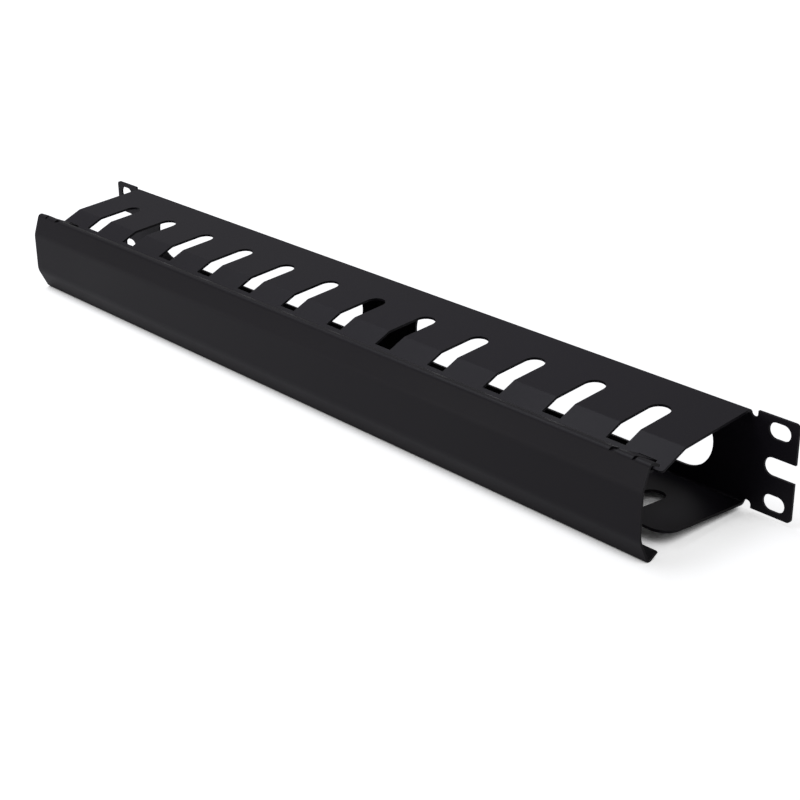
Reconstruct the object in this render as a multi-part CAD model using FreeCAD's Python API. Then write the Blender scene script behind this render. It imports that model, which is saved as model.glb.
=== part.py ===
"""Horizontal cable manager, one rack unit high, with a hinged cover.

Frame: +X to the right, +Y to the back of the rack, +Z up.  The origin is the centre
of the rear mounting face, the face of the ears that bears on the rack's rails.
All sizes are in millimetres and all angles in degrees.
"""
import FreeCAD, Part

import math
import os

# ---------------------------------------------------------------- driving dimensions
# Panel and ears
panel_width = 482.6            # over the two ears
panel_height = 43.65           # ear height, one rack unit less its running gap
sheet = 1.2                    # steel sheet of the folded body
bend_radius = 1.0              # inside radius of the bends
ear_width = 19.6               # ear, from its outer edge to the relief notch
ear_corner_radius = 2.0
hole_inset = 8.74              # rack screw hole centre, in from the ear's outer edge
hole_edge = 5.95               # rack screw hole centre, in from the ear's top or bottom
hole_height = 7.2              # rack screw holes are obrounds lying along X
hole_length = 10.6
mouth_height = 8.2             # open slot at mid height of each ear
mouth_depth = 14.9             # from the ear's outer edge to the slot's round end
notch_width = 3.6              # relief notch between the ear and the folded flange
notch_depth = 3.2

# Windows in the back plate
window_band = 7.8              # plate left above and below each window
window_web = 39.3              # plate left between the two windows
window_end_margin = 17.1       # from the flange's end to the window's end

# Top flange: falls gently to a second bend, then steeply as the nose
top_inset = 0.0                # flange's outer corner below the ear's top edge
flange_depth = 42.3            # rear face to the nose bend
flange_fall = 5.3
nose_depth = 13.7              # nose bend to the front edge
nose_fall = 24.0
nose_corner_radius = 1.5

# Bottom flange
bottom_inset = 0.1             # flange's outer corner above the ear's bottom edge
bottom_depth = 51.2            # rear face to the front edge
bottom_rise = 4.0
bottom_corner_radius = 8.0

# Finger slots, the same pattern in both flanges
slot_width = 10.3
slot_pitch = 34.65
slot_setback = 20.0            # rear face to the slot's round end
slot_end_margin = 22.0         # least distance from a slot's centre to the flange's end
top_slot_web = 5.2             # metal left in front of the slots, along the nose
bottom_slot_web = 5.0

# Cover
cover_sheet = 1.2
cover_overhang = 2.8           # past the flange at each end
cover_drop = 2.5               # its lowest fold below the ear's bottom edge
top_lip = 6.6                  # lip lengths run from the theoretical fold line
top_lip_fall = 26.0
upper_facet = 12.6             # top facet, leaning back from the vertical
upper_facet_lean = 19.0
lower_facet = 13.7
lower_facet_lean = 26.0
bottom_lip = 6.7
bottom_lip_rise = 30.0
face_bend_radius = 8.0         # soft inside radius of the two folds across the face

# Hook tongues: part of the cover, each hooked round a strip of the nose
tongue_width = 8.5
tongue_inset = 12.9            # tongue's centre, in from the cover's end
tongue_reach = 14.6            # cover's top fold line to the start of the hook
inner_notch = 3.0              # relief cuts that free the tongue from the lip
outer_notch = 1.5
notch_drop = 1.9               # relief cuts reach this far below the top fold line
strip_width = 2.0              # strip of the nose that the hook goes round
hook_clearance = 0.43          # between the strip's corners and the hook's bore
hook_wrap = 190.0              # how far the hook curls
slit_side_gap = 0.4            # each side of the tongue in its slit
slit_rear_gap = 0.35           # behind the hook, over the whole swing
cover_swing = 50.0             # opening travel that the slit leaves room for

# ------------------------------------------------------------------ worked-out places
half_width = panel_width / 2
half_height = panel_height / 2
flange_half = half_width - ear_width - notch_width
cover_half = flange_half + cover_overhang
tongue_x = cover_half - tongue_inset
cut_reach = 4.0 * sheet        # how far a cutting tool stands past the sheet it cuts


def sine(angle):
    return math.sin(math.radians(angle))


def cosine(angle):
    return math.cos(math.radians(angle))


def heading(angle):
    """Unit (y, z) direction at `angle` up from +Y."""
    return (cosine(angle), sine(angle))


def step_from(point, angle, length):
    """The (y, z) point reached from `point` by going `length` along `angle`."""
    way = heading(angle)
    return (point[0] + way[0] * length, point[1] + way[1] * length)


# Outer surface of the body's section, from the bottom flange's front edge to the nose
bottom_back = (0.0, bottom_inset - half_height)
bottom_front = (-bottom_depth, bottom_back[1] + bottom_depth * math.tan(math.radians(bottom_rise)))
top_back = (0.0, half_height - top_inset)
nose_bend = (-flange_depth, top_back[1] - flange_depth * math.tan(math.radians(flange_fall)))
nose_front = (nose_bend[0] - nose_depth, nose_bend[1] - nose_depth * math.tan(math.radians(nose_fall)))
nose_length = nose_depth / cosine(nose_fall)

# Hinge line: the middle of the strip that the hooks go round
strip_middle = step_from(nose_front, nose_fall, strip_width / 2)
hinge = step_from(strip_middle, nose_fall - 90.0, sheet / 2)
hook_inside = math.hypot(strip_width / 2, sheet / 2) + hook_clearance
hook_outside = hook_inside + cover_sheet

# Outer surface of the cover's section, from the top lip round to the bottom lip
tongue_up = 90.0 - top_lip_fall                      # outward normal of lip and tongue
hook_start = step_from(hinge, tongue_up, hook_outside)
cover_top = step_from(hook_start, 180.0 - top_lip_fall, tongue_reach)
cover_bottom_z = -half_height - cover_drop
upper_fold = step_from(cover_top, -90.0 - upper_facet_lean, upper_facet)
lower_fold = (upper_fold[0], cover_bottom_z + lower_facet * cosine(lower_facet_lean))
cover_bottom = step_from(lower_fold, -90.0 + lower_facet_lean, lower_facet)
top_lip_edge = step_from(cover_top, -top_lip_fall, top_lip)
bottom_lip_edge = step_from(cover_bottom, bottom_lip_rise, bottom_lip)

# Slit behind the strip: its rear edge clears the tongue at the end of the swing
swung_normal = tongue_up - nose_fall - cover_swing
slit_rear = (hook_outside + slit_rear_gap - sheet / 2 * sine(swung_normal)) / cosine(swung_normal)
slit_length = slit_rear - strip_width / 2


# ------------------------------------------------------------------------ geometry
def section_point(point, x=0.0):
    """A (y, z) section point as a vector at the given x."""
    return FreeCAD.Vector(x, point[0], point[1])


def folded_sheet(corners, thickness, radii, x_low, x_high):
    """A bent sheet, as a solid from x_low to x_high.

    `corners` are the outer surface's ends and fold lines in the (y, z) section, and
    `radii` the inside radius of each fold.  The path turns left at every fold, so the
    sheet's thickness lies on its left.
    """
    ways = []
    for first, second in zip(corners, corners[1:]):
        run = math.hypot(second[0] - first[0], second[1] - first[1])
        ways.append(((second[0] - first[0]) / run, (second[1] - first[1]) / run))

    def inward(point, way):
        return (point[0] - way[1] * thickness, point[1] + way[0] * thickness)

    outer_edges = []
    inner_edges = []
    outer_from = corners[0]
    inner_from = inward(corners[0], ways[0])
    start_cap = (inner_from, outer_from)
    for corner, radius, way_in, way_out in zip(corners[1:-1], radii, ways, ways[1:]):
        outer_radius = radius + thickness
        turn = math.acos(way_in[0] * way_out[0] + way_in[1] * way_out[1])
        setback = outer_radius * math.tan(turn / 2)
        arc_in = (corner[0] - way_in[0] * setback, corner[1] - way_in[1] * setback)
        arc_out = (corner[0] + way_out[0] * setback, corner[1] + way_out[1] * setback)
        centre = (arc_in[0] - way_in[1] * outer_radius, arc_in[1] + way_in[0] * outer_radius)
        spread = math.hypot(corner[0] - centre[0], corner[1] - centre[1])
        bisector = ((corner[0] - centre[0]) / spread, (corner[1] - centre[1]) / spread)
        for edges, begin, end, reach, last in (
            (outer_edges, arc_in, arc_out, outer_radius, outer_from),
            (inner_edges, inward(arc_in, way_in), inward(arc_out, way_out), radius, inner_from),
        ):
            middle = (centre[0] + bisector[0] * reach, centre[1] + bisector[1] * reach)
            edges.append(Part.LineSegment(section_point(last), section_point(begin)))
            edges.append(Part.Arc(section_point(begin), section_point(middle), section_point(end)))
        outer_from = arc_out
        inner_from = inward(arc_out, way_out)
    outer_end = corners[-1]
    inner_end = inward(outer_end, ways[-1])
    outer_edges.append(Part.LineSegment(section_point(outer_from), section_point(outer_end)))
    inner_edges.append(Part.LineSegment(section_point(inner_from), section_point(inner_end)))
    caps = [
        Part.LineSegment(section_point(start_cap[0]), section_point(start_cap[1])),
        Part.LineSegment(section_point(outer_end), section_point(inner_end)),
    ]
    return extrude_section(outer_edges + inner_edges + caps, x_low, x_high)


def extrude_section(curves, x_low, x_high):
    """Solid between x_low and x_high of a closed (y, z) outline of curves."""
    edges = Part.sortEdges([curve.toShape() for curve in curves])[0]
    face = Part.Face(Part.Wire(edges))
    face.translate(FreeCAD.Vector(x_low, 0, 0))
    return face.extrude(FreeCAD.Vector(x_high - x_low, 0, 0))


def flat_tool(outline):
    """Cutting prism through a sheet that lies in the tool's own XY plane."""
    face = Part.Face(outline)
    face.translate(FreeCAD.Vector(0, 0, -cut_reach))
    return face.extrude(FreeCAD.Vector(0, 0, 2 * cut_reach))


def rectangle(x_low, x_high, y_low, y_high):
    corners = [(x_low, y_low), (x_high, y_low), (x_high, y_high), (x_low, y_high), (x_low, y_low)]
    return Part.makePolygon([FreeCAD.Vector(x, y, 0) for x, y in corners])


def obround(x_low, x_high, y_middle, height):
    """Slot outline along X with two round ends, `height` across."""
    radius = height / 2
    left = x_low + radius
    right = x_high - radius
    top = y_middle + radius
    bottom = y_middle - radius
    edges = [
        Part.LineSegment(FreeCAD.Vector(left, bottom, 0), FreeCAD.Vector(right, bottom, 0)),
        Part.Arc(FreeCAD.Vector(right, bottom, 0), FreeCAD.Vector(x_high, y_middle, 0),
                 FreeCAD.Vector(right, top, 0)),
        Part.LineSegment(FreeCAD.Vector(right, top, 0), FreeCAD.Vector(left, top, 0)),
        Part.Arc(FreeCAD.Vector(left, top, 0), FreeCAD.Vector(x_low, y_middle, 0),
                 FreeCAD.Vector(left, bottom, 0)),
    ]
    return Part.Wire([edge.toShape() for edge in edges])


def finger_slot(x_middle, y_front, y_tip):
    """Slot outline along Y: square at the front, round at the back."""
    half = slot_width / 2
    left = x_middle - half
    right = x_middle + half
    y_round = y_tip - half
    edges = [
        Part.LineSegment(FreeCAD.Vector(left, y_front, 0), FreeCAD.Vector(right, y_front, 0)),
        Part.LineSegment(FreeCAD.Vector(right, y_front, 0), FreeCAD.Vector(right, y_round, 0)),
        Part.Arc(FreeCAD.Vector(right, y_round, 0), FreeCAD.Vector(x_middle, y_tip, 0),
                 FreeCAD.Vector(left, y_round, 0)),
        Part.LineSegment(FreeCAD.Vector(left, y_round, 0), FreeCAD.Vector(left, y_front, 0)),
    ]
    return Part.Wire([edge.toShape() for edge in edges])


def corner_cut(x_corner, y_corner, radius, x_side, y_side):
    """What rounding takes off a square corner whose metal lies towards -x_side, -y_side."""
    x_in = x_corner - x_side * radius
    y_in = y_corner - y_side * radius
    slant = radius * math.sqrt(0.5)
    on_x = FreeCAD.Vector(x_in, y_corner, 0)
    on_y = FreeCAD.Vector(x_corner, y_in, 0)
    middle = FreeCAD.Vector(x_in + x_side * slant, y_in + y_side * slant, 0)
    corner = FreeCAD.Vector(x_corner, y_corner, 0)
    edges = [
        Part.Arc(on_x, middle, on_y),
        Part.LineSegment(on_y, corner),
        Part.LineSegment(corner, on_x),
    ]
    return Part.Wire([edge.toShape() for edge in edges])


def laid_on(tools, origin, slope):
    """Moves flat tools onto a sheet: their +Y runs to the back along the sheet's slope."""
    group = Part.makeCompound(tools)
    turn = FreeCAD.Rotation(FreeCAD.Vector(1, 0, 0), slope)
    group.Placement = FreeCAD.Placement(section_point(origin), turn)
    return group


def stood_up(tools):
    """Turns flat tools to face the back plate: their XY plane becomes XZ."""
    return laid_on(tools, (0.0, 0.0), 90.0)


def slot_places():
    """X of each finger slot's centre, a row centred on the panel."""
    gaps = int((2 * flange_half - 2 * slot_end_margin) // slot_pitch)
    return [(number - gaps / 2) * slot_pitch for number in range(gaps + 1)]


def panel_tools():
    """Cut-outs of the back plate and ears, drawn in the panel's own plane."""
    tools = []
    window_height = panel_height - 2 * window_band
    window_start = window_web / 2
    window_stop = flange_half - window_end_margin
    hole_x = half_width - hole_inset
    hole_z = half_height - hole_edge
    mouth_tip = half_width - mouth_depth
    ear_inside = half_width - ear_width
    notch_floor = half_height - notch_depth
    past_edge = half_width + mouth_height
    tools.append(flat_tool(obround(window_start, window_stop, 0, window_height)))
    tools.append(flat_tool(obround(mouth_tip, past_edge, 0, mouth_height)))
    for up in (1, -1):
        tools.append(flat_tool(obround(hole_x - hole_length / 2, hole_x + hole_length / 2,
                                       up * hole_z, hole_height)))
        tools.append(flat_tool(corner_cut(half_width, up * half_height, ear_corner_radius, 1, up)))
        notch = notch_tool(flange_half, ear_inside, notch_floor)
        if up < 0:
            notch = notch.mirror(FreeCAD.Vector(0, 0, 0), FreeCAD.Vector(0, 1, 0))
        tools.append(notch)
    return tools + [tool.mirror(FreeCAD.Vector(0, 0, 0), FreeCAD.Vector(1, 0, 0)) for tool in tools]


def notch_tool(x_low, x_high, floor):
    """U-shaped relief notch with a round floor, open at the panel's top edge."""
    radius = (x_high - x_low) / 2
    middle = x_low + radius
    shoulder = floor + radius
    open_end = half_height + cut_reach
    edges = [
        Part.LineSegment(FreeCAD.Vector(x_low, open_end, 0), FreeCAD.Vector(x_low, shoulder, 0)),
        Part.Arc(FreeCAD.Vector(x_low, shoulder, 0), FreeCAD.Vector(middle, floor, 0),
                 FreeCAD.Vector(x_high, shoulder, 0)),
        Part.LineSegment(FreeCAD.Vector(x_high, shoulder, 0), FreeCAD.Vector(x_high, open_end, 0)),
        Part.LineSegment(FreeCAD.Vector(x_high, open_end, 0), FreeCAD.Vector(x_low, open_end, 0)),
    ]
    return flat_tool(Part.Wire([edge.toShape() for edge in edges]))


def top_flange_tools():
    """Finger slots where they cross the top flange, back of the nose bend."""
    tip = (flange_depth - slot_setback) / cosine(flange_fall)
    return [flat_tool(finger_slot(x, -bend_radius, tip)) for x in slot_places()]


def nose_tools():
    """Slot fronts, hinge slits and rounded corners of the nose, measured from its bend."""
    front = top_slot_web - nose_length
    half_slot = slot_width / 2
    slit_half = tongue_width / 2 + slit_side_gap
    slit_front = strip_width - nose_length
    tools = [flat_tool(rectangle(x - half_slot, x + half_slot, front, bend_radius))
             for x in slot_places()]
    for side in (1, -1):
        middle = side * tongue_x
        tools.append(flat_tool(rectangle(middle - slit_half, middle + slit_half,
                                         slit_front, slit_front + slit_length)))
        tools.append(flat_tool(corner_cut(side * flange_half, -nose_length,
                                          nose_corner_radius, side, -1)))
    return tools


def bottom_flange_tools():
    """Finger slots and rounded corners of the bottom flange, measured from the rear face."""
    run = 1 / cosine(bottom_rise)
    front_edge = -bottom_depth * run
    tools = [flat_tool(finger_slot(x, front_edge + bottom_slot_web, -slot_setback * run))
             for x in slot_places()]
    for side in (1, -1):
        tools.append(flat_tool(corner_cut(side * flange_half, front_edge,
                                          bottom_corner_radius, side, -1)))
    return tools


def make_body():
    """Back plate, ears and both slotted flanges, folded from one sheet."""
    body = folded_sheet([bottom_front, bottom_back, top_back, nose_bend, nose_front],
                        sheet, [bend_radius] * 3, -flange_half, flange_half)
    plate_reach = half_width - flange_half
    for x_low in (flange_half, -half_width):
        ear = Part.makeBox(plate_reach, sheet, panel_height,
                           FreeCAD.Vector(x_low, -sheet, -half_height))
        body = body.fuse(ear)
    body = body.cut(stood_up(panel_tools()))
    body = body.cut(laid_on(top_flange_tools(), nose_bend, flange_fall))
    body = body.cut(laid_on(nose_tools(), nose_bend, nose_fall))
    body = body.cut(laid_on(bottom_flange_tools(), bottom_back, -bottom_rise))
    return body.removeSplitter()


def make_tongue(x_middle):
    """Hook tongue: runs on from the lip, then curls round the hinge line."""
    half = tongue_width / 2
    root_outer = step_from(cover_top, -top_lip_fall, top_lip / 2)
    root_inner = step_from(root_outer, tongue_up - 180.0, cover_sheet)
    bore_start = step_from(hinge, tongue_up, hook_inside)
    mid_angle = tongue_up - hook_wrap / 2
    end_angle = tongue_up - hook_wrap
    outer_mid = step_from(hinge, mid_angle, hook_outside)
    outer_end = step_from(hinge, end_angle, hook_outside)
    bore_mid = step_from(hinge, mid_angle, hook_inside)
    bore_end = step_from(hinge, end_angle, hook_inside)
    curves = [
        Part.LineSegment(section_point(root_outer), section_point(hook_start)),
        Part.Arc(section_point(hook_start), section_point(outer_mid), section_point(outer_end)),
        Part.LineSegment(section_point(outer_end), section_point(bore_end)),
        Part.Arc(section_point(bore_end), section_point(bore_mid), section_point(bore_start)),
        Part.LineSegment(section_point(bore_start), section_point(root_inner)),
        Part.LineSegment(section_point(root_inner), section_point(root_outer)),
    ]
    return extrude_section(curves, x_middle - half, x_middle + half)


def relief_cuts(side):
    """The two cuts through lip and top fold that free one tongue."""
    middle = side * tongue_x
    half = tongue_width / 2
    inner_edge = middle - side * half
    outer_edge = middle + side * half
    spans = [(inner_edge - side * inner_notch, inner_edge), (outer_edge, outer_edge + side * outer_notch)]
    floor = cover_top[1] - notch_drop
    depth = top_lip_edge[0] - upper_fold[0] + cut_reach
    height = notch_drop + cut_reach
    lip_drop = cover_top[1] - top_lip_edge[1] + cover_sheet
    cuts = []
    for span in spans:
        x_low = min(span)
        width = abs(span[1] - span[0])
        cuts.append(Part.makeBox(width, depth, height, FreeCAD.Vector(x_low, upper_fold[0], floor)))
        behind = cover_top[0] + cover_sheet + bend_radius
        cuts.append(Part.makeBox(width, depth, lip_drop + cut_reach,
                                 FreeCAD.Vector(x_low, behind, cover_top[1] - lip_drop - sheet)))
    return cuts


def make_cover():
    """Cover: face of three facets with two lips, and a hook tongue near each end."""
    corners = [top_lip_edge, cover_top, upper_fold, lower_fold, cover_bottom, bottom_lip_edge]
    radii = [bend_radius, face_bend_radius, face_bend_radius, bend_radius]
    cover = folded_sheet(corners, cover_sheet, radii, -cover_half, cover_half)
    cuts = relief_cuts(1) + relief_cuts(-1)
    cover = cover.cut(Part.makeCompound(cuts))
    for side in (1, -1):
        cover = cover.fuse(make_tongue(side * tongue_x))
    return cover.removeSplitter()


def main():
    os.makedirs("parts", exist_ok=True)
    for name, make in (("body", make_body), ("cover", make_cover)):
        shape = make()
        solids = shape.Solids
        shape = solids[0] if len(solids) == 1 else shape
        shape.exportStep(os.path.join("parts", name + ".step"))
        box = shape.BoundBox
        print("%-6s solids %d valid %s volume %.1f mm3" % (name, len(solids), shape.isValid(), shape.Volume))
        print("       X %.2f..%.2f  Y %.2f..%.2f  Z %.2f..%.2f"
              % (box.XMin, box.XMax, box.YMin, box.YMax, box.ZMin, box.ZMax))
    print("hinge line at y %.3f z %.3f, hook bore radius %.3f, slit %.2f long"
          % (hinge[0], hinge[1], hook_inside, slit_length))


main()
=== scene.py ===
"""Looks of a one-unit horizontal cable manager: folded steel body and hinged cover.

Every length is in metres, in the row frame: +X to the right, +Y to the back of the rack,
+Z up, with the origin at the centre of the rear mounting face.
"""
import logging
import math
from dataclasses import dataclass
from enum import Enum

import bmesh
import bpy
import numpy as np
from mathutils import Matrix, Vector


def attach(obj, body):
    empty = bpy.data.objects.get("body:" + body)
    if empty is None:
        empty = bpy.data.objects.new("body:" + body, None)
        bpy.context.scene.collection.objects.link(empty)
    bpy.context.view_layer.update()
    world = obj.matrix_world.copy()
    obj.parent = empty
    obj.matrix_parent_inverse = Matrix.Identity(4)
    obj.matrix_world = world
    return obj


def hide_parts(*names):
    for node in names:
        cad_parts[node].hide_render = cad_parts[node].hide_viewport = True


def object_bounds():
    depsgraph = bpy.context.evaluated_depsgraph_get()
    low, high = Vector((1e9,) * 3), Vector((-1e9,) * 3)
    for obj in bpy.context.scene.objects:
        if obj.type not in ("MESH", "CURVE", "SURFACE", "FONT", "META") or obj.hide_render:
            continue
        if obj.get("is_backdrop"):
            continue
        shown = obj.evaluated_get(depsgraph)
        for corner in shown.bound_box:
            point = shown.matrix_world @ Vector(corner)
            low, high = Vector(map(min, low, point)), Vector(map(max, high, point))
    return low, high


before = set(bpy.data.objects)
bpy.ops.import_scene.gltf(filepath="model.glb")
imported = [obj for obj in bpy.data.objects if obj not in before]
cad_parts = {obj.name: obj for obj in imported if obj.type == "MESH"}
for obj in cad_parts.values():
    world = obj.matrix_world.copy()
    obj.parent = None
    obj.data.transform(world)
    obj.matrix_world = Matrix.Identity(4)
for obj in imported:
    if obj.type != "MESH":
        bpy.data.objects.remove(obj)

LOG = logging.getLogger("cable_manager")
MM = 0.001

Colour = tuple[float, float, float]
Span = tuple[float, float]
Socket = bpy.types.NodeSocket

WHITE: Colour = (1.0, 1.0, 1.0)


class Piece(Enum):
    """The folded sheets of the object, by the CAD node each one finishes."""

    BODY = "body"
    COVER = "cover"


# ------------------------------------------------------------------------------- nodes
@dataclass(frozen=True)
class Noise:
    """One noise pattern.

    Attributes:
        size: Width of one cell.
        detail: Octaves of finer noise on it.
    """

    size: float
    detail: float


class Graph:
    """Short calls that add and link shader nodes in one tree.

    Attributes:
        SHEEN_SHARE: Share of the white background that a reflection sees.
        MIX_COLOURS: Numbers of the Mix node's two colour inputs.
        MIX_RESULT: Number of its colour output.
    """

    SHEEN_SHARE = 0.25
    MIX_COLOURS = (6, 7)
    MIX_RESULT = 2

    def __init__(self, tree: bpy.types.NodeTree) -> None:
        """Empties the tree and keeps it for the nodes that follow."""
        tree.nodes.clear()
        self.tree = tree

    def plug(self, socket: Socket, value: object) -> None:
        """Links an output to the socket, or sets the socket's own value.

        Args:
            socket: Input socket.
            value: An output socket, a number or a tuple.
        """
        if isinstance(value, bpy.types.NodeSocket):
            self.tree.links.new(value, socket)
        else:
            socket.default_value = value

    def node(self, kind: str, **inputs: object) -> bpy.types.Node:
        """Adds a node and fills its named inputs.

        Args:
            kind: Blender's node type.
            **inputs: Input values by socket name.

        Returns:
            The new node.
        """
        made = self.tree.nodes.new(kind)
        for name, value in inputs.items():
            self.plug(made.inputs[name], value)
        return made

    def finish(self, kind: str, surface: Socket) -> None:
        """Adds the output node of that kind and links the surface to it."""
        self.node(kind, Surface=surface)

    def noise(self, where: Socket, pattern: Noise) -> Socket:
        """Value in 0 to 1 of a noise pattern.

        Args:
            where: Coordinates it is read at.
            pattern: Its cell size and detail.

        Returns:
            The value.
        """
        scale = 1 / pattern.size
        made = self.node("ShaderNodeTexNoise", Vector=where, Scale=scale, Detail=pattern.detail)
        return made.outputs["Fac"]

    def remap(self, value: Socket, source: Span, target: Span) -> Socket:
        """Maps one span linearly onto another and clamps to it.

        Args:
            value: Value to map.
            source: Values that become the target's two ends.
            target: The two ends.

        Returns:
            The mapped value.
        """
        made = self.node("ShaderNodeMapRange", Value=value)
        for side, ends in (("From", source), ("To", target)):
            for end, entry in zip(("Min", "Max"), ends):
                self.plug(made.inputs[f"{side} {end}"], entry)
        return made.outputs["Result"]

    def combine(self, operation: str, first: object, second: object) -> Socket:
        """Result of a Math node with two inputs.

        Args:
            operation: Blender's name of the operation.
            first: A socket or a number.
            second: A socket or a number.

        Returns:
            The result.
        """
        made = self.tree.nodes.new("ShaderNodeMath")
        made.operation = operation
        for slot, entry in enumerate((first, second)):
            self.plug(made.inputs[slot], entry)
        return made.outputs["Value"]

    def measure(self, operation: str, *vectors: Socket) -> Socket:
        """Number that a Vector Math node gives, such as a length or a dot product.

        Args:
            operation: Blender's name of the operation.
            *vectors: The vectors it takes.

        Returns:
            The number.
        """
        made = self.tree.nodes.new("ShaderNodeVectorMath")
        made.operation = operation
        for slot, entry in enumerate(vectors):
            self.plug(made.inputs[slot], entry)
        return made.outputs["Value"]

    def mix_colour(self, factor: Socket, first: object, second: object) -> Socket:
        """Mixes two colours, each a socket or a linear (r, g, b).

        Args:
            factor: 0 gives the first colour and 1 the second.
            first: The first colour.
            second: The second colour.

        Returns:
            The mixed colour.
        """
        made = self.tree.nodes.new("ShaderNodeMix")
        made.data_type = "RGBA"
        self.plug(made.inputs["Factor"], factor)
        for slot, entry in zip(self.MIX_COLOURS, (first, second)):
            self.plug(made.inputs[slot], (*entry, 1.0) if isinstance(entry, tuple) else entry)
        return made.outputs[self.MIX_RESULT]

    def sees_background(self) -> Socket:
        """Tells how much of the white background a ray sees.

        It is all of it directly or through glass, and SHEEN_SHARE of it in a reflection.

        Returns:
            The share, in 0 to 1.
        """
        path = self.node("ShaderNodeLightPath").outputs
        sheen = self.combine("MULTIPLY", path["Is Glossy Ray"], self.SHEEN_SHARE)
        through = self.combine("MAXIMUM", sheen, path["Is Transmission Ray"])
        return self.combine("MAXIMUM", path["Is Camera Ray"], through)

    def background_pick(self, plain: Socket, shown: Socket) -> Socket:
        """Gives one shader to the light and another to the rays that see the background.

        Args:
            plain: Shader that lights the object.
            shown: Shader that stands as the background.

        Returns:
            The mixed shader.
        """
        pick = self.node("ShaderNodeMixShader", Fac=self.sees_background())
        for slot, entry in enumerate((plain, shown), start=1):
            self.plug(pick.inputs[slot], entry)
        return pick.outputs["Shader"]


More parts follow.
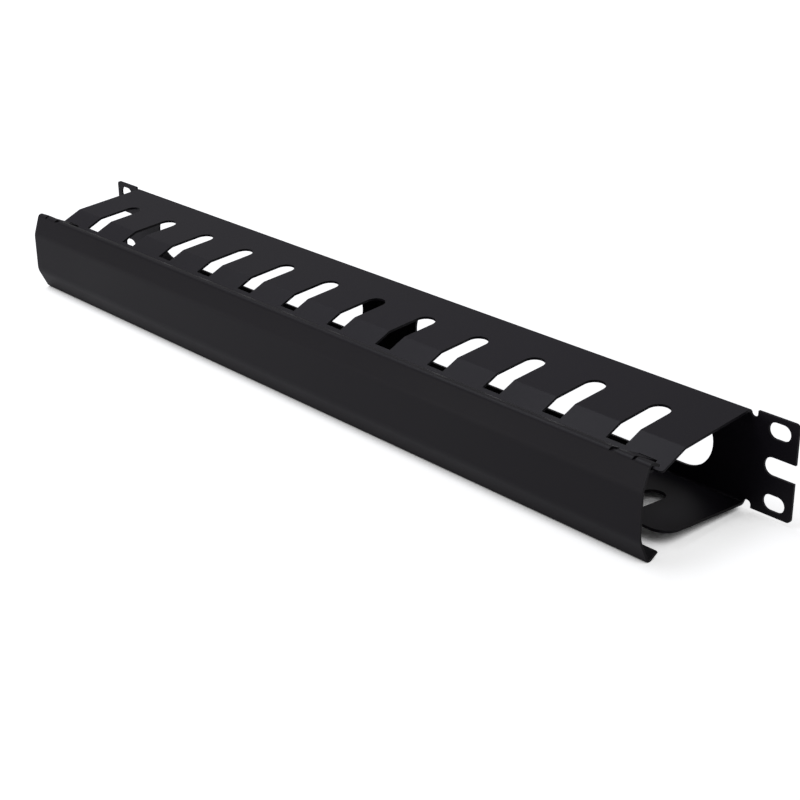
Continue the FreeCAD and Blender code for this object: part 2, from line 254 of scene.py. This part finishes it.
# ------------------------------------------------------------------------------ finish
@dataclass(frozen=True)
class PowderCoat:
    """Fine black powder coat over steel, with a slight orange peel and lighter cut edges: thin
    coat, partly a painted edge highlight.

    Attributes:
        name: Material name.
        colour: Linear colour of the coat.
        tint: Linear colour of its lighter clouds and grains.
        roughness: Mean roughness of the coat.
        specular: Specular level of the coat.
        seed: Shift of the patterns, so that two sheets don't match.
        cloud: Soft clouds of tone and gloss.
        grain: Powder grains.
        peel: Orange-peel cells.
        peel_height: Height of the orange peel.
        peel_share: Share of the relief that the peel makes, and the grains the rest.
        noise_window: Noise values that are taken as the least and the most.
        grain_window: The same for the grains' colour.
        cloud_tint: Least and most that the clouds mix in of the tint.
        grain_tint: Least and most that the grains mix in of it.
        cloud_gloss: Change of roughness from the least to the most cloud.
        grain_gloss: Change of roughness from the least to the most grain.
        thin_coat_and_highlight_tint: Linear colour of the thin coat on cut edges, lighter as a
            painted edge highlight.
        edge_gloss: How much less rough the thin coat is.
        edge_reach: How far the thin coat comes in from an edge.
        edge_samples: Rays that look for the edge.
        edge_turn: Cosine of the turn at which the thin coat starts, and is full.
        edge_patches: Patches of the lighter edges: thin coat and painted edge highlight.
        edge_patch_window: Noise values between which a patch fades in.
        edge_patch_depth: Share of the lighter edge between the patches and in them.
    """

    name: str
    colour: Colour
    tint: Colour
    roughness: float = 0.5
    specular: float = 0.2
    seed: float = 0.0
    cloud: Noise = Noise(90.0 * MM, 3.0)
    grain: Noise = Noise(0.35 * MM, 2.0)
    peel: Noise = Noise(1.4 * MM, 1.0)
    peel_height: float = 0.012 * MM
    peel_share: float = 0.7
    noise_window: Span = (0.3, 0.7)
    grain_window: Span = (0.35, 0.75)
    cloud_tint: Span = (0.0, 0.55)
    grain_tint: Span = (0.0, 0.45)
    cloud_gloss: Span = (-0.05, 0.03)
    grain_gloss: Span = (-0.03, 0.05)
    # Lighter rim colour: thin coat, and partly a painted highlight on the cut edges.
    thin_coat_and_highlight_tint: Colour = (0.025, 0.0242, 0.0252)
    edge_gloss: float = 0.08
    edge_reach: float = 0.5 * MM
    edge_samples: int = 4
    edge_turn: Span = (0.98, 0.8)
    edge_patches: Noise = Noise(9.0 * MM, 3.0)
    edge_patch_window: Span = (0.35, 0.65)
    edge_patch_depth: Span = (0.25, 1.0)

    def material(self) -> bpy.types.Material:
        """Builds the coat as a node material on Object coordinates.

        Returns:
            The finished material.
        """
        material = bpy.data.materials.new(self.name)
        material.use_nodes = True
        graph = Graph(material.node_tree)
        place = graph.node("ShaderNodeTexCoord").outputs["Object"]
        shift = (self.seed, -self.seed, self.seed)
        where = graph.node("ShaderNodeMapping", Vector=place, Location=shift).outputs["Vector"]
        cloud = graph.noise(where, self.cloud)
        grain = graph.noise(where, self.grain)
        thin = self.thin_coat_and_highlight_edges(graph, where)
        coat = graph.node("ShaderNodeBsdfPrincipled", Normal=self.relief(graph, where, grain))
        graph.plug(coat.inputs["Base Color"], self.tone(graph, cloud, grain, thin))
        graph.plug(coat.inputs["Roughness"], self.dullness(graph, cloud, grain, thin))
        coat.inputs["Specular IOR Level"].default_value = self.specular
        graph.finish("ShaderNodeOutputMaterial", coat.outputs["BSDF"])
        return material

    def tone(self, graph: Graph, cloud: Socket, grain: Socket, thin: Socket) -> Socket:
        """Colour: clouds and grains mix the tint into the coat, and the lighter cut edges, thin
        coat and painted edge highlight, cover both.

        Args:
            graph: The material's graph.
            cloud: Cloud noise.
            grain: Grain noise.
            thin: Share of thin coat and painted edge highlight.

        Returns:
            The coat's colour.
        """
        clouds = graph.remap(cloud, self.noise_window, self.cloud_tint)
        grains = graph.remap(grain, self.grain_window, self.grain_tint)
        mixed = graph.mix_colour(graph.combine("ADD", clouds, grains), self.colour, self.tint)
        # The lighter edge colour stands partly for thin coat and partly paints a highlight along
        # the cut edges.
        return graph.mix_colour(thin, mixed, self.thin_coat_and_highlight_tint)

    def dullness(self, graph: Graph, cloud: Socket, grain: Socket, thin: Socket) -> Socket:
        """Roughness: its mean, plus the clouds' and the grains' change, less the thin edges'.

        Args:
            graph: The material's graph.
            cloud: Cloud noise.
            grain: Grain noise.
            thin: Share of thin coat.

        Returns:
            The coat's roughness.
        """
        around_mean = tuple(self.roughness + change for change in self.cloud_gloss)
        clouds = graph.remap(cloud, self.noise_window, around_mean)
        grains = graph.remap(grain, self.noise_window, self.grain_gloss)
        smoother = graph.combine("MULTIPLY", thin, self.edge_gloss)
        return graph.combine("SUBTRACT", graph.combine("ADD", clouds, grains), smoother)

    def relief(self, graph: Graph, where: Socket, grain: Socket) -> Socket:
        """Relief: orange peel and grains, weighed by peel_share.

        Args:
            graph: The material's graph.
            where: Object coordinates.
            grain: Grain noise.

        Returns:
            The coat's normal.
        """
        peel = graph.combine("MULTIPLY", graph.noise(where, self.peel), self.peel_share)
        grains = graph.combine("MULTIPLY", grain, 1.0 - self.peel_share)
        height = graph.combine("ADD", peel, grains)
        bump = graph.node("ShaderNodeBump", Height=height, Distance=self.peel_height, Strength=1.0)
        return bump.outputs["Normal"]

    def thin_coat_and_highlight_edges(self, graph: Graph, where: Socket) -> Socket:
        """Share of lighter coat along the sheet's cut edges, in patches: thin coat, and a painted
        edge highlight.

        An edge is where a normal rounded over edge_reach turns away from the true one.

        Args:
            graph: The material's graph.
            where: Object coordinates.

        Returns:
            0 on the flats, up to 1 on the edges.
        """
        rounded = graph.node("ShaderNodeBevel", Radius=self.edge_reach)
        rounded.samples = self.edge_samples
        true = graph.node("ShaderNodeNewGeometry").outputs["True Normal"]
        turn = graph.measure("DOT_PRODUCT", rounded.outputs["Normal"], true)
        edge = graph.remap(turn, self.edge_turn, (0.0, 1.0))
        patches = graph.remap(graph.noise(where, self.edge_patches), self.edge_patch_window, self.edge_patch_depth)
        return graph.combine("MULTIPLY", edge, patches)


BODY_COAT = PowderCoat(
    name="body_powder_coat",
    colour=(0.0111, 0.0090, 0.0134),
    tint=(0.0166, 0.0138, 0.0198),
)
COVER_COAT = PowderCoat(
    name="cover_powder_coat",
    colour=(0.0111, 0.0092, 0.0123),
    tint=(0.0161, 0.0138, 0.0180),
    seed=0.37,
)


# ------------------------------------------------------------------------------ sheets
@dataclass
class CoatedSheet:
    """One folded sheet of the CAD model with the coat's rounded edges.

    Attributes:
        piece: Which sheet.
        coat: Its finish.
        edge_radius: Radius the coat gives to every cut edge.
        edge_segments: Flat strips across that radius.
        weld: Distance within which the CAD triangles' corners are one point.
        flat_angle: Faces closer than this angle are one flat face.
        sharp_angle: Edges sharper than this are cut edges and get rounded.
        flat_weight: How far large flats decide the normals at their edges, 50 is evenly.
    """

    piece: Piece
    coat: PowderCoat
    edge_radius: float = 0.22 * MM
    edge_segments: int = 3
    weld: float = 0.002 * MM
    flat_angle: float = math.radians(0.5)
    sharp_angle: float = math.radians(40.0)
    flat_weight: int = 100

    def build(self) -> bpy.types.Object:
        """Builds, dresses and mounts the sheet.

        Returns:
            The visible piece.
        """
        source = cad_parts[self.piece.value]
        mesh = self.welded_copy(source.data)
        sheet = bpy.data.objects.new(mesh.name, mesh)
        bpy.context.scene.collection.objects.link(sheet)
        self.round_edges(sheet)
        self.dress(sheet)
        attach(sheet, self.piece.value)
        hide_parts(self.piece.value)
        return sheet

    def welded_copy(self, source: bpy.types.Mesh) -> bpy.types.Mesh:
        """A copy of the CAD triangles with shared corners joined and flats made one face.

        The triangles across a bend are first turned to run straight along it, so that the
        bend shades evenly.

        Args:
            source: The CAD node's mesh, which stays as it is.

        Returns:
            The new mesh.
        """
        shell = bmesh.new()
        shell.from_mesh(source)
        inner = [edge for edge in shell.edges if len(edge.link_faces) == 2]
        bmesh.ops.beautify_fill(shell, faces=shell.faces, edges=inner, method="ANGLE")
        bmesh.ops.remove_doubles(shell, verts=shell.verts, dist=self.weld)
        bmesh.ops.dissolve_limit(
            shell, angle_limit=self.flat_angle, verts=shell.verts, edges=shell.edges)
        mesh = bpy.data.meshes.new(f"{self.piece.value}_sheet")
        shell.to_mesh(mesh)
        shell.free()
        return mesh

    def round_edges(self, sheet: bpy.types.Object) -> None:
        """Rounds the cut edges, shades the bends smooth and keeps the flats flat.

        Args:
            sheet: The sheet's object.
        """
        bevel = sheet.modifiers.new("coat_edge", "BEVEL")
        bevel.width = self.edge_radius
        bevel.segments = self.edge_segments
        bevel.limit_method = "ANGLE"
        bevel.angle_limit = self.sharp_angle
        bevel.harden_normals = True
        bevel.use_clamp_overlap = True
        faces = sheet.data.polygons
        faces.foreach_set("use_smooth", np.ones(len(faces), dtype=bool))
        flats = sheet.modifiers.new("flat_normals", "WEIGHTED_NORMAL")
        flats.mode = "FACE_AREA"
        flats.weight = self.flat_weight
        flats.keep_sharp = True

    def dress(self, sheet: bpy.types.Object) -> None:
        """Gives the sheet its coat as its only material."""
        sheet.data.materials.clear()
        sheet.data.materials.append(self.coat.material())


# ------------------------------------------------------------------------------ studio
@dataclass(frozen=True)
class Camera:
    """The camera, placed by where it looks from.

    Attributes:
        azimuth: 0 looking along +Y, turning towards -X.
        elevation: Height of its line of sight.
        roll: Turn about that line.
        distance: From the camera to the plane through the origin that faces it.
        slide: How far it stands to its own right and up of the line to the origin.
        aim_y: How far it stands to the back of that.
        lens: Focal length in millimetres.
        sensor: Sensor width in millimetres.
        clip: Nearest and furthest distance it sees.
    """

    azimuth: float = math.radians(48.06)
    elevation: float = math.radians(23.61)
    roll: float = math.radians(-0.59)
    distance: float = 0.8014
    slide: Span = (5.3 * MM, -40.3 * MM)
    aim_y: float = -1.2 * MM
    lens: float = 72.4
    sensor: float = 36.0
    clip: Span = (0.01, 50.0)

    def directions(self) -> tuple[np.ndarray, np.ndarray, np.ndarray]:
        """Level, upright and backward directions of the camera before it rolls.

        Backward points from the origin to the camera, level lies in the floor's plane at
        right angles to it, and upright is at right angles to both.

        Returns:
            Three unit vectors in the row frame.
        """
        across, along = math.sin(self.azimuth), math.cos(self.azimuth)
        reach = math.cos(self.elevation)
        back = np.array([across * reach, -along * reach, math.sin(self.elevation)])
        level = np.array([along, across, 0.0])
        return level, np.cross(back, level), back

    def build(self) -> None:
        """Adds the camera and makes it the scene's own."""
        level, upright, back = self.directions()
        right = math.cos(self.roll) * level + math.sin(self.roll) * upright
        up = -math.sin(self.roll) * level + math.cos(self.roll) * upright
        stand = back * self.distance + level * self.slide[0] + upright * self.slide[1]
        stand = stand + np.array([0.0, self.aim_y, 0.0])
        data = bpy.data.cameras.new("camera")
        data.lens = self.lens
        data.sensor_width = self.sensor
        data.clip_start, data.clip_end = self.clip
        eye = bpy.data.objects.new("camera", data)
        turn = Matrix((right, up, back)).transposed().to_4x4()
        eye.matrix_world = Matrix.Translation(Vector(stand)) @ turn
        bpy.context.scene.collection.objects.link(eye)
        bpy.context.scene.camera = eye


@dataclass(frozen=True)
class Lamp:
    """Rectangular area lamp that faces the origin.

    Attributes:
        name: Its name.
        place: Where it stands.
        size: Its width and height.
        power: Its power in watts.
        colour: Its linear colour.
    """

    name: str
    place: tuple[float, float, float]
    size: Span
    power: float
    colour: Colour = WHITE

    def build(self) -> None:
        """Adds the lamp to the scene."""
        data = bpy.data.lights.new(self.name, "AREA")
        data.shape = "RECTANGLE"
        data.size, data.size_y = self.size
        data.energy = self.power
        data.color = self.colour
        lamp = bpy.data.objects.new(self.name, data)
        lamp.location = self.place
        lamp.rotation_euler = Vector(self.place).to_track_quat("Z", "Y").to_euler()
        bpy.context.scene.collection.objects.link(lamp)


OVERHEAD = Lamp("overhead", (-0.5, -0.25, 1.45), (1.4, 0.8), 12.5, (0.92, 0.94, 1.0))
FRONT_LEFT = Lamp("front_left", (-0.6, -1.5, 0.1), (0.9, 0.3), 3.8)


@dataclass(frozen=True)
class PaleFloor:
    """Pale floor: lit paper, and a glow that only background-seeing rays meet.

    The glow makes up the paper's white where the lamps fade out, and drops by ambient
    occlusion under and around the object: a painted contact shadow.

    Attributes:
        half: Half its side.
        paper: Linear grey of the paper.
        shadow_reach: How far from the object the glow is held back.
        shadow_samples: Rays that look for the object.
        shadow_window: Openness of the floor at which the glow starts, and is full.
        fade: Distances from the origin between which the glow rises to its most.
        glow: Its strength at those distances.
    """

    half: float = 12.0
    paper: float = 0.78
    shadow_reach: float = 60.0 * MM
    shadow_samples: int = 8
    shadow_window: Span = (0.12, 0.45)
    fade: Span = (0.5, 1.8)
    glow: Span = (0.75, 1.0)

    def glow_strength(self, graph: Graph) -> Socket:
        """Strength of the glow: how open the floor is, which paints the contact shadow, times its
        rise with distance.

        Args:
            graph: The material's graph.

        Returns:
            The strength.
        """
        # Ambient occlusion darkens the glow near the object: a painted contact shadow.
        nearby = graph.node("ShaderNodeAmbientOcclusion", Distance=self.shadow_reach)
        nearby.samples = self.shadow_samples
        outside_painted_shadow = graph.remap(nearby.outputs["AO"], self.shadow_window, (0.0, 1.0))
        place = graph.node("ShaderNodeTexCoord").outputs["Object"]
        rise = graph.remap(graph.measure("LENGTH", place), self.fade, self.glow)
        return graph.combine("MULTIPLY", outside_painted_shadow, rise)

    def material(self) -> bpy.types.Material:
        """Builds the floor's material.

        Returns:
            The finished material.
        """
        material = bpy.data.materials.new("pale_floor")
        material.use_nodes = True
        graph = Graph(material.node_tree)
        grey = (self.paper, self.paper, self.paper, 1.0)
        paper = graph.node("ShaderNodeBsdfDiffuse", Color=grey).outputs["BSDF"]
        strength = self.glow_strength(graph)
        glow = graph.node("ShaderNodeEmission", Color=(*WHITE, 1.0), Strength=strength)
        lit = graph.node("ShaderNodeAddShader")
        for slot, entry in enumerate((paper, glow.outputs["Emission"])):
            graph.plug(lit.inputs[slot], entry)
        shown = graph.background_pick(paper, lit.outputs["Shader"])
        graph.finish("ShaderNodeOutputMaterial", shown)
        return material

    def build(self, height: float) -> None:
        """Adds the floor as one square.

        Args:
            height: Its z.
        """
        half = self.half
        outline = [(-half, -half, height), (half, -half, height),
                   (half, half, height), (-half, half, height)]
        mesh = bpy.data.meshes.new("floor")
        mesh.from_pydata(outline, [], [(0, 1, 2, 3)])
        mesh.materials.append(self.material())
        plane = bpy.data.objects.new("floor", mesh)
        bpy.context.scene.collection.objects.link(plane)
        plane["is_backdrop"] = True


@dataclass(frozen=True)
class Studio:
    """Pale floor, white background, soft lamps and the camera.

    Attributes:
        camera: The camera.
        floor: The floor.
        lamps: The lamps.
        surround: Strength of the grey light from all sides.
        white: Strength of the background, where 1 is white.
    """

    camera: Camera = Camera()
    floor: PaleFloor = PaleFloor()
    lamps: tuple[Lamp, ...] = (OVERHEAD, FRONT_LEFT)
    surround: float = 0.08
    white: float = 1.0

    def world(self) -> None:
        """Builds the world: white as the background, and a soft grey surround as light."""
        world = bpy.data.worlds.new("studio")
        bpy.context.scene.world = world
        world.use_nodes = True
        graph = Graph(world.node_tree)
        plain, shown = (
            graph.node("ShaderNodeBackground", Color=(*WHITE, 1.0), Strength=strength)
            for strength in (self.surround, self.white)
        )
        pick = graph.background_pick(plain.outputs["Background"], shown.outputs["Background"])
        graph.finish("ShaderNodeOutputWorld", pick)

    def build(self, floor_height: float) -> None:
        """Builds the whole studio.

        Args:
            floor_height: z of the floor.
        """
        self.camera.build()
        self.floor.build(floor_height)
        self.world()
        for lamp in self.lamps:
            lamp.build()
        bpy.context.scene.view_settings.view_transform = "Standard"


def main() -> None:
    """Builds the sheets and the studio."""
    logging.basicConfig(level=logging.INFO, format="%(name)s: %(message)s")
    cad_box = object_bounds()
    for sheet in (CoatedSheet(Piece.BODY, BODY_COAT), CoatedSheet(Piece.COVER, COVER_COAT)):
        made = sheet.build()
        LOG.info("%s: %d faces", made.name, len(made.data.polygons))
    Studio().build(floor_height=cad_box[0].z)


if __name__ == "__main__":
    main()
